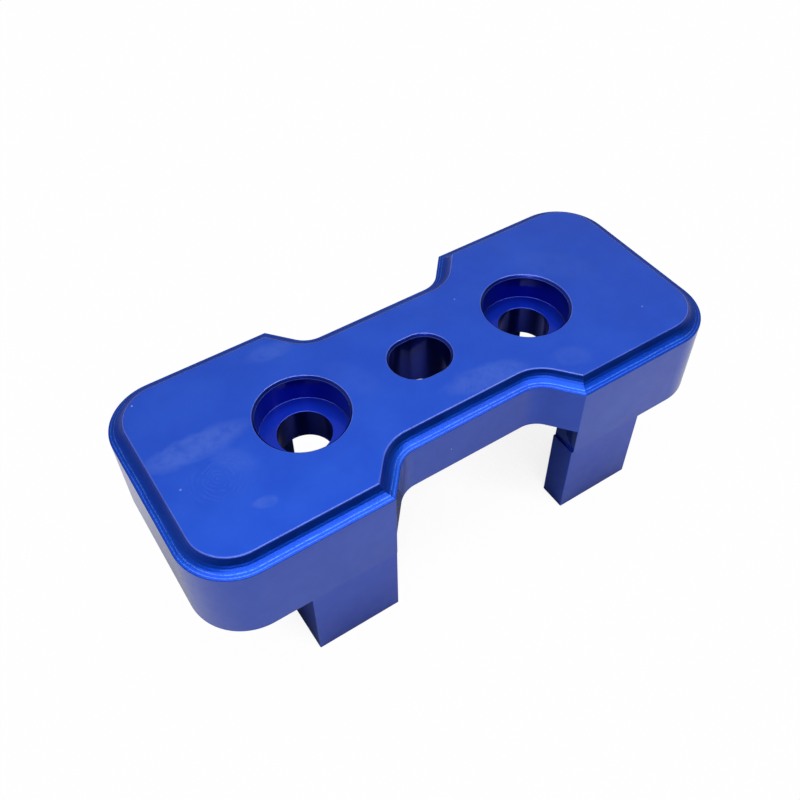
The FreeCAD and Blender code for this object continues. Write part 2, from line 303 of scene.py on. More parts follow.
# %% The legs, as one upright bar for each head
def bar_ring(inset_x, inset_y, z):
    """A leg bar's section, with its four upright edges broken."""
    across = LEG_WIDTH / 2 - inset_x - EDGE_BREAK
    along = HEAD_WIDTH / 2 - LEG_SETBACK - inset_y - EDGE_BREAK
    corners = [(across, along, 0), (-across, along, 90), (-across, -along, 180), (across, -along, 270)]
    points = []
    for x, y, turn in corners:
        points += arc((x, y), EDGE_BREAK, turn, turn + 90, BREAK_STEPS)
    return [(x, y, z) for x, y in points]


# The bar ends a hair inside the head, so that no two faces lie in one plane. A narrower tongue goes
# on up, and fills the groove that the head's broken edge would leave above the leg's outer face.
HAIR = 0.02
TONGUE_INSET = 0.5
TONGUE_HEIGHT = 0.3
foot = eased([(LID, 0, 0), (0, 0, EDGE_BREAK), (0, HEAD_UNDERSIDE + HAIR, 0)])
rings = [bar_ring(inset, inset, z) for inset, z in foot]
rings.append(bar_ring(TONGUE_INSET, 0, HEAD_UNDERSIDE + HAIR))
rings.append(bar_ring(TONGUE_INSET, 0, HEAD_UNDERSIDE + TONGUE_HEIGHT))
leg_bar = give_finish(loft("leg_bar", rings), lambda face: "milled_legs")

# %% [markdown]
# ## The cutters
# A drill, a counterbore tool and a chamfer tool make each hole one after another. A turned profile
# holds all three, so one cutter leaves the wall, the floor and the mouth at once. The cutters reach
# past the faces that they open through, because a cut that ends exactly on a face leaves a skin.

# %% Round and elongated sections
HOLE_STEPS = 128


def circle(radius, z):
    return [(x, y, z) for x, y in arc((0, 0), radius, 0, 360, HOLE_STEPS)[:-1]]


def stadium(radius, z):
    """Two half circles whose centres are apart by what the slot is longer than it is wide."""
    reach = (SLOT_LENGTH - SLOT_WIDTH) / 2
    right = arc((reach, 0), radius, -90, 90, HOLE_STEPS // 2)
    left = arc((-reach, 0), radius, 90, 270, HOLE_STEPS // 2)
    return [(x, y, z) for x, y in right + left]


print("points round a hole and a slot:", len(circle(1, 0)), len(stadium(1, 0)))

# %% The profiles of the holes and of the recess
PAST = 1.5
TIGHT_CORNER = 0.12
CHAMFER_BREAK = 0.10
RECESS_CORNER = 0.5
RECESS_LID = 2.0
# Above the top face a hole's cutter flares by this much, nearly level at first.
FLARE = 0.6
FLARE_RISE = 0.1


def mouth(radius):
    """The top of a hole's profile: the wall, its chamfer, and a way out above the top face."""
    rim = radius + MOUTH_CHAMFER
    return [
        (radius, HEIGHT - MOUTH_CHAMFER, TIGHT_CORNER),
        (rim, HEIGHT, CHAMFER_BREAK),
        (rim + FLARE, HEIGHT + FLARE_RISE, 0),
        (rim + FLARE, HEIGHT + PAST, 0),
    ]


counterbore_floor = HEIGHT - COUNTERBORE_DEPTH
below_plate = PLATE_UNDERSIDE - PAST
bolt_profile = eased([
    (BOLT_HOLE_RADIUS, below_plate, 0),
    (BOLT_HOLE_RADIUS, counterbore_floor, EDGE_BREAK),
    (COUNTERBORE_RADIUS, counterbore_floor, TIGHT_CORNER),
] + mouth(COUNTERBORE_RADIUS))
slot_profile = eased([(SLOT_WIDTH / 2, below_plate, 0)] + mouth(SLOT_WIDTH / 2))
recess_profile = eased([
    (RECESS_RADIUS, -PAST, 0),
    (RECESS_RADIUS, PLATE_UNDERSIDE, RECESS_CORNER),
    (RECESS_RADIUS - RECESS_LID, PLATE_UNDERSIDE, 0),
])
print("steps in a bolt hole, the slot and a recess:", len(bolt_profile), len(slot_profile),
      len(recess_profile))

# %% The finish that each hole cutter leaves
# How close to the top face, and to the chamfer's lower edge, a face gets the pale edge blue: partly
# thinner dye, partly a painted highlight.
MOUTH_THIN_DYE_AND_HIGHLIGHT = 0.08
CHAMFER_THIN_DYE_AND_HIGHLIGHT = 0.05


def slot_finish(face):
    depth = HEIGHT - face.center.z
    thin_dye_and_highlight = depth < MOUTH_THIN_DYE_AND_HIGHLIGHT or abs(depth - MOUTH_CHAMFER) < CHAMFER_THIN_DYE_AND_HIGHLIGHT
    # The bore walls get a darker blue, which is painted shade inside the hole.
    return "broken_edges" if thin_dye_and_highlight else "bored_holes"


def bolt_finish(face):
    on_floor = abs(face.center.z - counterbore_floor) < AT_LEVEL
    # The counterbore floor's darker blue is painted shade in the recess.
    return "counterbore_floor" if on_floor else slot_finish(face)


def underside_finish(face):
    return "milled_underside"


# %% The cutters
# The waist cut ends a hair short of the heads' inner corners. A cut exactly through a broken corner
# folds the mesh when its edges are bevelled.
SHORT = 0.05


def slab(name, half_x, half_y, levels):
    """A closed box round the origin, from the lower level to the upper one."""
    corners = [(-half_x, -half_y), (half_x, -half_y), (half_x, half_y), (-half_x, half_y)]
    return loft(name, [[(x, y, z) for x, y in corners] for z in levels])


bolt_cutter = loft("bolt_cutter", [circle(radius, z) for radius, z in bolt_profile])
slot_cutter = loft("slot_cutter", [stadium(radius, z) for radius, z in slot_profile])
recess_cutter = loft("recess_cutter", [circle(radius, z) for radius, z in recess_profile])
waist_cutter = slab("waist_cutter", HEAD_GAP / 2 - SHORT, HEAD_WIDTH, (PAST, PLATE_UNDERSIDE))
cutters = {
    "Bolt Hole Cutter": give_finish(bolt_cutter, bolt_finish),
    "Slot Cutter": give_finish(slot_cutter, slot_finish),
    "Recess Cutter": give_finish(recess_cutter, underside_finish),
    "Waist Cutter": give_finish(waist_cutter, underside_finish),
}

# %% [markdown]
# ## Machining with Geometry Nodes
# On the machine a program moves one cutter to every place where it is needed. A node tree does the
# same. Its inputs are the stock, the cutters and the distances between the places. Each cutter
# becomes an instance at each of its places, and booleans add the legs and take the cuts away. The
# tree can be run again with another bolt pitch and still gives a sound block.

# %% A short way to write node trees
class Nodes:
    """A short way to add nodes to one tree and to join their sockets."""

    def __init__(self, tree):
        self.tree = tree

    def add(self, kind, settings=None, **inputs):
        node = self.tree.nodes.new(kind)
        for name, value in (settings or {}).items():
            setattr(node, name, value)
        for name, value in inputs.items():
            self.put(node, name.replace("_", " "), value)
        return node

    def put(self, node, name, value):
        """Sets an input, given by its name or its number, to a value or to another node's output."""
        by_number = name[0] == "i" and name[1:].isdigit()
        socket = node.inputs[int(name[1:]) if by_number else name]
        if isinstance(value, bpy.types.NodeSocket):
            self.tree.links.new(value, socket)
        else:
            socket.default_value = value
        return node


# %% The tree's inputs
# The clear distance between the two pairs of legs, under the waist.
leg_gap = HEAD_GAP - 2 * LEG_STEP
SOCKETS = [
    ("Geometry", "NodeSocketGeometry", None),
    ("Leg Bar", "NodeSocketObject", None),
    ("Waist Cutter", "NodeSocketObject", None),
    ("Recess Cutter", "NodeSocketObject", None),
    ("Bolt Hole Cutter", "NodeSocketObject", None),
    ("Slot Cutter", "NodeSocketObject", None),
    ("Leg Pitch", "NodeSocketFloat", leg_gap + LEG_WIDTH),
    ("Leg Shift", "NodeSocketFloat", LEG_SHIFT),
    ("Bolt Pitch", "NodeSocketFloat", BOLT_PITCH),
    ("Top Height", "NodeSocketFloat", HEIGHT),
    ("Top Finish", "NodeSocketMaterial", None),
]
print("sizes in the tree:", {name: round(value, 2) for name, _, value in SOCKETS if value is not None})

# %% The tree
# Points this close together become one, so that no sliver is left between two cuts.
WELD = 0.002
SAME_LEVEL = 0.001


def milling_tree():
    tree = bpy.data.node_groups.new("mill_the_block", "GeometryNodeTree")
    for name, kind, value in SOCKETS:
        socket = tree.interface.new_socket(name=name, in_out="INPUT", socket_type=kind)
        if value is not None:
            socket.default_value = value
    tree.interface.new_socket(name="Geometry", in_out="OUTPUT", socket_type="NodeSocketGeometry")
    nodes = Nodes(tree)
    given = nodes.add("NodeGroupInput").outputs

    def shape_of(name):
        return nodes.add("GeometryNodeObjectInfo", Object=given[name]).outputs["Geometry"]

    def at_both_ends(name, pitch, shift=0.0):
        """The named shape at plus and minus half the pitch, as plain geometry."""
        half = nodes.add("ShaderNodeMath", {"operation": "MULTIPLY"}, i0=given[pitch], i1=-0.5)
        start = nodes.add("ShaderNodeMath", {"operation": "ADD"}, i0=half.outputs[0], i1=shift)
        first = nodes.add("ShaderNodeCombineXYZ", X=start.outputs[0])
        step = nodes.add("ShaderNodeCombineXYZ", X=given[pitch])
        line = nodes.add("GeometryNodeMeshLine", Count=2, Start_Location=first.outputs[0],
                         Offset=step.outputs[0])
        copies = nodes.add("GeometryNodeInstanceOnPoints", Points=line.outputs[0],
                           Instance=shape_of(name))
        return nodes.add("GeometryNodeRealizeInstances", Geometry=copies.outputs[0]).outputs[0]

    def combine(operation, first, second):
        node = nodes.add("GeometryNodeMeshBoolean", {"operation": operation, "solver": "MANIFOLD"})
        target = node.inputs["Mesh 2"]
        if operation == "DIFFERENCE":
            tree.links.new(first, node.inputs["Mesh 1"])
        else:
            tree.links.new(first, target)
        tree.links.new(second, target)
        return node.outputs["Mesh"]

    bridge = combine("DIFFERENCE", given["Geometry"], shape_of("Waist Cutter"))
    on_legs = combine("UNION", bridge, at_both_ends("Leg Bar", "Leg Pitch", given["Leg Shift"]))
    recessed = combine("DIFFERENCE", on_legs, at_both_ends("Recess Cutter", "Bolt Pitch"))
    drilled = combine("DIFFERENCE", recessed, at_both_ends("Bolt Hole Cutter", "Bolt Pitch"))
    slotted = combine("DIFFERENCE", drilled, shape_of("Slot Cutter"))

    joined = nodes.add("GeometryNodeMergeByDistance", Geometry=slotted, Distance=WELD).outputs[0]

    place = nodes.add("ShaderNodeSeparateXYZ", Vector=nodes.add("GeometryNodeInputPosition").outputs[0])
    level = nodes.add("ShaderNodeMath", {"operation": "COMPARE"}, i0=place.outputs["Z"],
                      i1=given["Top Height"], i2=SAME_LEVEL)
    whole = nodes.add("GeometryNodeRealizeInstances", Geometry=joined)
    topped = nodes.add("GeometryNodeSetMaterial", Geometry=whole.outputs[0],
                       Selection=level.outputs[0], Material=given["Top Finish"])
    nodes.add("NodeGroupOutput", Geometry=topped.outputs[0])
    return tree


milling = milling_tree()
print("nodes in the tree:", len(milling.nodes))


# %% Run it, and turn the result into a plain mesh
def add_to_scene(name, data):
    item = bpy.data.objects.new(name, data)
    bpy.context.scene.collection.objects.link(item)
    return item


def milled_mesh():
    """The block as one mesh in millimetres. The stock and the tools leave the scene afterwards."""
    stock = add_to_scene("stock", plate)
    tools = {name: add_to_scene(name, mesh) for name, mesh in cutters.items()}
    tools["Leg Bar"] = add_to_scene("Leg Bar", leg_bar)
    modifier = stock.modifiers.new("milling", "NODES")
    modifier.node_group = milling
    values = {**tools, "Top Finish": finish["milled_top"]}
    for item in modifier.node_group.interface.items_tree:
        if item.in_out == "INPUT" and item.name in values:
            modifier[item.identifier] = values[item.name]
    result = bpy.data.meshes.new_from_object(stock.evaluated_get(bpy.context.evaluated_depsgraph_get()))
    for item in [stock, *tools.values()]:
        bpy.data.objects.remove(item)
    return result


block_mesh = milled_mesh()
block_mesh.name = "milled_block"
print("materials:", [material.name for material in block_mesh.materials])

# %% Measure it
MM3_PER_CM3 = 1000
build = bmesh.new()
build.from_mesh(block_mesh)
open_edges = sum(not edge.is_manifold for edge in build.edges)
volume = build.calc_volume() / MM3_PER_CM3
print(f"milled: {len(build.faces)} faces, {open_edges} open edges, {volume:.2f} cm3")
build.free()

# %% [markdown]
# ## The last sharp edges
# The booleans leave sharp edges where two cuts meet, such as under the waist and inside the legs. A
# deburring tool takes a light, even break off each of them. A Bevel modifier does the same on the
# edges that are given a weight, and weighted normals keep the flat faces flat beside it. Two places
# are narrower than the break, so they keep their edges: the step between a head's side and its leg,
# and the ledge where a leg's inner face stands past its head. That ledge's faces are given the
# darker blue of a bore, which is painted shade in the corner under the head.

# %% The two steps at the tops of the legs
NEAR_SIDE = 0.35
NEAR_STEP = 0.4
ON_LEDGE = 0.1


def at_outer_step(point):
    """Whether a point is at the hair's-breadth step between a head's side and its leg."""
    return abs(point.y) > HEAD_WIDTH / 2 - NEAR_SIDE and abs(point.z - HEAD_UNDERSIDE) < NEAR_STEP


def on_inner_ledge(point):
    """Whether a point is on the narrow ledge where a leg's inner face stands past its head."""
    return abs(point.x) < HEAD_GAP / 2 + ON_LEDGE and abs(point.z - HEAD_UNDERSIDE) < ON_LEDGE


def faces_up(face):
    return face.normal.z > -LOOKS_DOWN


# The ledge faces take the bore's darker blue as painted shade in the corner under the head.
ledges = [face for face in block_mesh.polygons if faces_up(face) and on_inner_ledge(face.center)]
for face in ledges:
    face.material_index = block_mesh.materials.find("bored_holes")
print("faces on the inner ledges:", len(ledges))

# %% Mark the edges to break
LEAST_ANGLE = math.radians(60)
SMOOTH_ANGLE = math.radians(32)


def stays_sharp(ends):
    return any(at_outer_step(point) for point in ends) or all(on_inner_ledge(point) for point in ends)


def mark_edges(mesh):
    """Gives a bevel weight to each sharp outer edge, and returns how many there are."""
    build = bmesh.new()
    build.from_mesh(mesh)
    weight = build.edges.layers.float.new("bevel_weight_edge")
    marked = 0
    for edge in build.edges:
        angle = edge.calc_face_angle()
        edge.smooth = angle < SMOOTH_ANGLE
        if edge.is_convex and angle > LEAST_ANGLE and not stays_sharp([v.co for v in edge.verts]):
            edge[weight] = 1.0
            edge.smooth = True
            marked += 1
    for face in build.faces:
        face.smooth = True
    build.to_mesh(mesh)
    build.free()
    return marked


print("edges to break:", mark_edges(block_mesh))

# %% The finished block, in metres
DEBURR = 0.12

block_mesh.transform(Matrix.Scale(MM, 4))
block = add_to_scene("milled_block", block_mesh)
deburr = block.modifiers.new("deburr", "BEVEL")
deburr.limit_method = "WEIGHT"
deburr.width = DEBURR * MM
deburr.segments = 2
deburr.use_clamp_overlap = False
deburr.loop_slide = False
even = block.modifiers.new("even_normals", "WEIGHTED_NORMAL")
even.keep_sharp = True
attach(block, "root")
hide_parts(NODE)
print("block:", [round(size / MM, 2) for size in block.dimensions], "mm")

# %% [markdown]
# ## The anodised finish
# Anodising grows a clear, glassy oxide on the metal, and the dye sits in it. Light that comes back
# from the metal is blue and soft, because the metal under the oxide was etched. Light that comes
# back from the oxide's own surface is sharp and white, and grows strong at a grazing angle. So the
# material is a fairly rough blue metal under a smooth clear coat. All the finishes share the dye's
# nodes. They differ in what the cutter left under it, and in their blues, some of which are painted
# shade or painted highlight. So each effect is a node group with named inputs, built once and
# placed in each material with that finish's own values.

# %% Building a node group
ORIGIN = (0.0, 0.0, 0.0)
MASK = {"Mask": "NodeSocketFloat"}
SOCKET_KINDS = {float: "NodeSocketFloat", tuple: "NodeSocketVector", list: "NodeSocketColor"}
effects = {}


def effect(name, inputs, outputs):
    """A new shader group with named sockets. Returns its nodes and its inputs."""
    tree = bpy.data.node_groups.new(name, "ShaderNodeTree")
    for label, value in inputs.items():
        kind = SOCKET_KINDS[type(value)]
        socket = tree.interface.new_socket(name=label, in_out="INPUT", socket_type=kind)
        socket.default_value = value
    for label, kind in outputs.items():
        tree.interface.new_socket(name=label, in_out="OUTPUT", socket_type=kind)
    nodes = Nodes(tree)
    return nodes, nodes.add("NodeGroupInput").outputs


def keep(key, tree):
    """Files a finished group under a short key, and prints its inputs."""
    effects[key] = tree
    labels = [item.name for item in tree.interface.items_tree if item.in_out == "INPUT"]
    print(f"{tree.name}: {len(tree.nodes)} nodes, inputs: {', '.join(labels)}")


# %% Sums on values and vectors
def math_node(nodes, operation, first, second=None, clamp=False):
    node = nodes.add("ShaderNodeMath", {"operation": operation, "use_clamp": clamp}, i0=first)
    if second is not None:
        nodes.put(node, "i1", second)
    return node.outputs[0]


def times(nodes, first, *others, clamp=False):
    """The product of two or more values."""
    for other in others:
        first = math_node(nodes, "MULTIPLY", first, other, clamp)
    return first


def wave(nodes, turns):
    """A sine, which rises and falls once for each whole turn."""
    return math_node(nodes, "SINE", times(nodes, turns, 2 * math.pi))


def vector_node(nodes, operation, first, second=None):
    node = nodes.add("ShaderNodeVectorMath", {"operation": operation}, i0=first)
    if second is not None:
        nodes.put(node, "i1", second)
    return node.outputs["Value" if operation in ("LENGTH", "DOT_PRODUCT") else "Vector"]


# %% Noise, ramps and mixes
def noise(nodes, place, per_metre, detail, roughness=0.5):
    """A cloudy value round 0.5, with about per_metre clouds in a metre."""
    return nodes.add("ShaderNodeTexNoise", Vector=place, Scale=per_metre, Detail=detail,
                     Roughness=roughness).outputs[0]


def ramp(nodes, value, low, high):
    """0 below low, 1 above high and a smooth rise between. With low above high it falls."""
    node = nodes.add("ShaderNodeMapRange", {"interpolation_type": "SMOOTHSTEP"}, Value=value)
    nodes.put(node, "From Min", low)
    nodes.put(node, "From Max", high)
    return node.outputs["Result"]


def between(nodes, factor, first, second):
    """A number that goes from first to second as the factor goes from 0 to 1."""
    return nodes.add("ShaderNodeMix", {"data_type": "FLOAT"}, i0=factor, i2=first, i3=second).outputs[0]


def blend(nodes, factor, first, second):
    """A colour that goes from first to second as the factor goes from 0 to 1."""
    return nodes.add("ShaderNodeMix", {"data_type": "RGBA"}, i0=factor, i6=first, i7=second).outputs[2]


def put_out_mask(nodes, *factors):
    """Ends a group with one mask, the product of the factors, kept between 0 and 1."""
    nodes.add("NodeGroupOutput", Mask=times(nodes, *factors, clamp=True))
    return nodes.tree


# %% [markdown]
# ### Dye, grain and polish
# The dye takes a little more in some places than in others, and the polish varies too. Clouds of
# noise do both: they are made in space, from Object coordinates, so they have no seams and run on
# from one face to the next. The etched grain under them is far too fine for the mesh, so it is bump.

# %% The dye, a little uneven in depth
DYE_THINS = (0.35, 0.72)


def dye_group():
    nodes, given = effect(
        "uneven_dye",
        {"Place": ORIGIN, "Dye": [0.01, 0.08, 0.6, 1.0], "Thin Dye": [0.03, 0.13, 0.7, 1.0],
         "Patches per Metre": 120.0, "Unevenness": 0.6},
        {"Color": "NodeSocketColor"})
    patches = noise(nodes, given["Place"], given["Patches per Metre"], 5.0, 0.55)
    thin = times(nodes, ramp(nodes, patches, *DYE_THINS), given["Unevenness"])
    nodes.add("NodeGroupOutput", Color=blend(nodes, thin, given["Dye"], given["Thin Dye"]))
    return nodes.tree


keep("dye", dye_group())


# %% The fine grain that etching leaves on the metal
def grain_group():
    nodes, given = effect(
        "etched_grain",
        {"Place": ORIGIN, "Grains per Metre": 9000.0, "Stretch": (1.0, 1.0, 1.0)},
        {"Height": "NodeSocketFloat"})
    stretched = vector_node(nodes, "MULTIPLY", given["Place"], given["Stretch"])
    grain = noise(nodes, stretched, given["Grains per Metre"], 3.0, 0.6)
    nodes.add("NodeGroupOutput", Height=grain)
    return nodes.tree


keep("grain", grain_group())

# %% A polish that is a little duller in some places than in others
POLISH_DULLS = (0.3, 0.7)
HAZE_DULLS_BY = 0.12


def polish_group():
    nodes, given = effect(
        "uneven_polish",
        {"Place": ORIGIN, "Patches per Metre": 350.0, "Smooth": 0.3, "Rough": 0.4, "Haze": 0.0},
        {"Roughness": "NodeSocketFloat"})
    patches = noise(nodes, given["Place"], given["Patches per Metre"], 4.0, 0.6)
    level = between(nodes, ramp(nodes, patches, *POLISH_DULLS), given["Smooth"], given["Rough"])
    hazed = math_node(nodes, "ADD", level, times(nodes, given["Haze"], HAZE_DULLS_BY))
    nodes.add("NodeGroupOutput", Roughness=hazed)
    return nodes.tree


keep("polish", polish_group())

# %% [markdown]
# ### Rubbed edges with painted highlights, and painted glints along the cutter lines
# Handling rubs an edge pale before it marks a face, and the pale edge here also stands in for the
# highlight that a rounded edge catches, so it is partly rubbed metal and partly painted highlight.
# The Bevel shader node gives the direction that a slightly rounded surface would face: where that
# differs from the true one, an edge is near, and a patchy noise breaks the pale edge up. Low in the
# cove, broken bright lines along the ball cutter's last passes are painted glints. Distance along
# the cove goes with the angle round its hollow, so the height above the rim is turned into that
# angle, and the lines come out evenly spaced.

# %% Pale edges, partly rubbed and partly painted highlight
EDGE_IS_NEAR = (0.995, 0.90)
WEAR_AND_HIGHLIGHT_PATCHES = (0.2, 0.6)


def edge_wear_and_highlight_group():
    nodes, given = effect("edge_wear", {"Place": ORIGIN, "Width": 0.0002, "Amount": 1.0}, MASK)
    rounded = nodes.add("ShaderNodeBevel", {"samples": 6}, Radius=given["Width"]).outputs[0]
    true = nodes.add("ShaderNodeNewGeometry").outputs["Normal"]
    edge = ramp(nodes, vector_node(nodes, "DOT_PRODUCT", rounded, true), *EDGE_IS_NEAR)
    patchy = ramp(nodes, noise(nodes, given["Place"], 600.0, 3.0), *WEAR_AND_HIGHLIGHT_PATCHES)
    return put_out_mask(nodes, edge, patchy, given["Amount"])


keep("wear", edge_wear_and_highlight_group())

# %% Painted glints along the lines of the ball cutter's last passes in the cove
LINE_SHOWS = (-0.1, 0.8)
LINE_BREAKS = (0.30, 0.66)
LINE_STRAYS = 0.5
FADE_IN = 0.10
FADE_OUT = 0.12


def pass_glint_group():
    nodes, given = effect(
        "cutter_passes",
        {"Place": ORIGIN, "Rim Height": RIM * MM, "Radius": COVE_RADIUS * MM,
         "Passes per Radian": 6.0, "Start": 0.06, "End": 0.50, "Amount": 0.6}, MASK)
    height = nodes.add("ShaderNodeSeparateXYZ", Vector=given["Place"]).outputs["Z"]
    above_rim = math_node(nodes, "SUBTRACT", height, given["Rim Height"])
    rise = math_node(nodes, "DIVIDE", above_rim, given["Radius"])
    angle = math_node(nodes, "ARCCOSINE", math_node(nodes, "SUBTRACT", 1.0, rise, clamp=True))
    stray = times(nodes, noise(nodes, given["Place"], 160.0, 2.0), LINE_STRAYS)
    turns = math_node(nodes, "ADD", times(nodes, angle, given["Passes per Radian"]), stray)
    line = ramp(nodes, wave(nodes, turns), *LINE_SHOWS)
    broken = ramp(nodes, noise(nodes, given["Place"], 3200.0, 3.0, 0.75), *LINE_BREAKS)
    rising = ramp(nodes, angle, given["Start"], math_node(nodes, "ADD", given["Start"], FADE_IN))
    falling = ramp(nodes, angle, given["End"], math_node(nodes, "SUBTRACT", given["End"], FADE_OUT))
    return put_out_mask(nodes, line, broken, rising, falling, given["Amount"])


keep("passes", pass_glint_group())

# %% [markdown]
# ### Handling marks
# Hands and other parts touch the top face, so it has hazy smudges, dust specks and the faint rings
# of two fingertips. An image could hold them, but a few masks, each with a centre and a size on the
# block, stay sharp at any distance and can be moved one by one.

# %% One smudge, as an oval cloud
SMUDGE_ENDS = (1.5, 1.05)
SMUDGE_CLOUDS = (0.15, 0.65)
SMUDGE_RAGGED = 0.9


def reach_in_oval(nodes, offset, half_size):
    """0 at an oval's centre and 1 on its edge."""
    return vector_node(nodes, "LENGTH", vector_node(nodes, "DIVIDE", offset, half_size))


def smudge_group():
    nodes, given = effect(
        "smudge",
        {"Place": ORIGIN, "Centre": ORIGIN, "Turn": 0.0, "Half Size": (0.005, 0.002, 0.01),
         "Amount": 1.0}, MASK)
    from_centre = vector_node(nodes, "SUBTRACT", given["Place"], given["Centre"])
    turned = nodes.add("ShaderNodeVectorRotate", {"rotation_type": "Z_AXIS"}, Vector=from_centre,
                       Angle=given["Turn"]).outputs[0]
    clouds = noise(nodes, given["Place"], 420.0, 5.0, 0.6)
    ragged = math_node(nodes, "ADD", reach_in_oval(nodes, turned, given["Half Size"]),
                       times(nodes, clouds, SMUDGE_RAGGED))
    oval = ramp(nodes, ragged, *SMUDGE_ENDS)
    cloudy = ramp(nodes, clouds, *SMUDGE_CLOUDS)
    return put_out_mask(nodes, oval, cloudy, given["Amount"])


keep("smudge", smudge_group())


# %% Specks of dust and pinholes in the film
def speck_group():
    nodes, given = effect(
        "specks", {"Place": ORIGIN, "Cells per Metre": 260.0, "Size": 0.03, "Share": 0.03}, MASK)
    cells = nodes.add("ShaderNodeTexVoronoi", Vector=given["Place"],
                      Scale=given["Cells per Metre"]).outputs
    near = math_node(nodes, "LESS_THAN", cells["Distance"], given["Size"])
    chance = nodes.add("ShaderNodeSeparateColor", Color=cells["Color"]).outputs[0]
    chosen = math_node(nodes, "LESS_THAN", chance, given["Share"])
    return put_out_mask(nodes, near, chosen)


keep("specks", speck_group())

# %% The ridges of a fingertip, as broken rings inside an oval
RIDGE_SHOWS = (0.0, 0.8)
RIDGE_WOBBLE = 2.5
TIP_ENDS = (1.0, 0.6)
TIP_PATCHES = (0.38, 0.62)


def fingertip_group():
    nodes, given = effect(
        "fingertip",
        {"Place": ORIGIN, "Centre": ORIGIN, "Half Size": (0.004, 0.003, 0.01),
         "Ridges per Metre": 1300.0, "Amount": 0.3}, MASK)
    from_centre = vector_node(nodes, "SUBTRACT", given["Place"], given["Centre"])
    distance = vector_node(nodes, "LENGTH", from_centre)
    wobble = times(nodes, noise(nodes, given["Place"], 300.0, 2.0), RIDGE_WOBBLE)
    turns = math_node(nodes, "ADD", times(nodes, distance, given["Ridges per Metre"]), wobble)
    ridges = ramp(nodes, wave(nodes, turns), *RIDGE_SHOWS)
    inside = ramp(nodes, reach_in_oval(nodes, from_centre, given["Half Size"]), *TIP_ENDS)
    patchy = ramp(nodes, noise(nodes, given["Place"], 700.0, 3.0), *TIP_PATCHES)
    return put_out_mask(nodes, ridges, inside, patchy, given["Amount"])


keep("fingertip", fingertip_group())

# %% [markdown]
# ### One material for each finish
# One bath dyes the whole block, but the finishes are given different blues. A bore's darker blue is
# painted shade, and a broken edge's paler blue is partly thinner dye and partly a painted highlight.
# So each finish has its own pair of blues, its own roughness and its own share of clear coat over
# the same nodes. The metal's roughness spreads the blue, and the coat's much lower one keeps the
# white sheen sharp.

# %% The blues, as linear colours: the dye, and the dye where it is thin
DYES = {
    "milled_top": ([0.006, 0.072, 0.56, 1.0], [0.014, 0.095, 0.62, 1.0]),
    "milled_cove": ([0.004, 0.052, 0.50, 1.0], [0.008, 0.080, 0.56, 1.0]),
    "milled_walls": ([0.006, 0.082, 0.64, 1.0], [0.014, 0.105, 0.70, 1.0]),
    "milled_legs": ([0.006, 0.078, 0.66, 1.0], [0.012, 0.098, 0.70, 1.0]),
    # The broken edges' paler blue is partly thinner dye and partly a painted highlight.
    "broken_edges": ([0.09, 0.18, 0.74, 1.0], [0.20, 0.29, 0.88, 1.0]),
    # The bore's darker blue is painted shade, the dark that falls inside the holes.
    "bored_holes": ([0.006, 0.020, 0.30, 1.0], [0.010, 0.034, 0.38, 1.0]),
    # The counterbore floor's darker blue is painted shade in the recess as well.
    "counterbore_floor": ([0.004, 0.028, 0.46, 1.0], [0.004, 0.028, 0.46, 1.0]),
    "milled_underside": ([0.006, 0.072, 0.56, 1.0], [0.014, 0.095, 0.62, 1.0]),
}
# A brighter blue for the painted glints in the cove.
COVE_GLINT = [0.12, 0.29, 0.85, 1.0]
# The pale edge colour, partly rubbed metal and partly a painted highlight.
PALE_EDGE_AND_HIGHLIGHT = [0.30, 0.36, 0.80, 1.0]
HAZE = [0.080, 0.170, 0.62, 1.0]
DUST = [0.45, 0.50, 0.80, 1.0]
print("finishes with a dye:", len(DYES), "of", len(FINISHES))

# %% One finish
POLISH_SPREAD = 0.04
GRAIN_DEPTH = 0.05
OXIDE_IOR = 1.5


def use(nodes, key, **inputs):
    return nodes.add("ShaderNodeGroup", {"node_tree": effects[key]}, **inputs).outputs[0]


def anodise(name, roughness, coat_roughness, grain, stretch=(1.0, 1.0, 1.0), depth=0.12, edge=0.6,
            coat=1.0, marks=()):
    """Fills in one finish: the shared dye over what this cutter left."""
    material = finish[name]
    material.use_nodes = True
    nodes = Nodes(material.node_tree)
    shader = material.node_tree.nodes["Principled BSDF"]
    place = nodes.add("ShaderNodeTexCoord").outputs["Object"]
    dye, thin_dye = DYES[name]
    colour = use(nodes, "dye", Place=place, Dye=dye, Thin_Dye=thin_dye)
    # A pale patchy edge, partly rubbed metal and partly a painted highlight.
    colour = blend(nodes, use(nodes, "wear", Place=place, Amount=edge), colour, PALE_EDGE_AND_HIGHLIGHT)
    colour = blend(nodes, use(nodes, "specks", Place=place), colour, DUST)
    hazy = 0.0
    for kind, tint, settings in marks:
        mask = use(nodes, kind, Place=place, **settings)
        colour = blend(nodes, mask, colour, tint)
        hazy = math_node(nodes, "ADD", mask, hazy)
    rough = use(nodes, "polish", Place=place, Smooth=roughness - POLISH_SPREAD,
                Rough=roughness + POLISH_SPREAD, Haze=hazy)
    height = use(nodes, "grain", Place=place, Grains_per_Metre=grain, Stretch=stretch)
    bump = nodes.add("ShaderNodeBump", Height=height, Strength=depth, Distance=GRAIN_DEPTH * MM)
    nodes.put(shader, "Base Color", colour)
    nodes.put(shader, "Roughness", rough)
    nodes.put(shader, "Normal", bump.outputs[0])
    nodes.put(shader, "Metallic", 1.0)
    nodes.put(shader, "Coat Weight", coat)
    nodes.put(shader, "Coat Roughness", coat_roughness)
    nodes.put(shader, "Coat IOR", OXIDE_IOR)
    print(f"{name}: {len(material.node_tree.nodes)} nodes, {len(marks)} marks")


# %% The marks on the top face, in millimetres
MARK_HALF_HEIGHT = 10.0


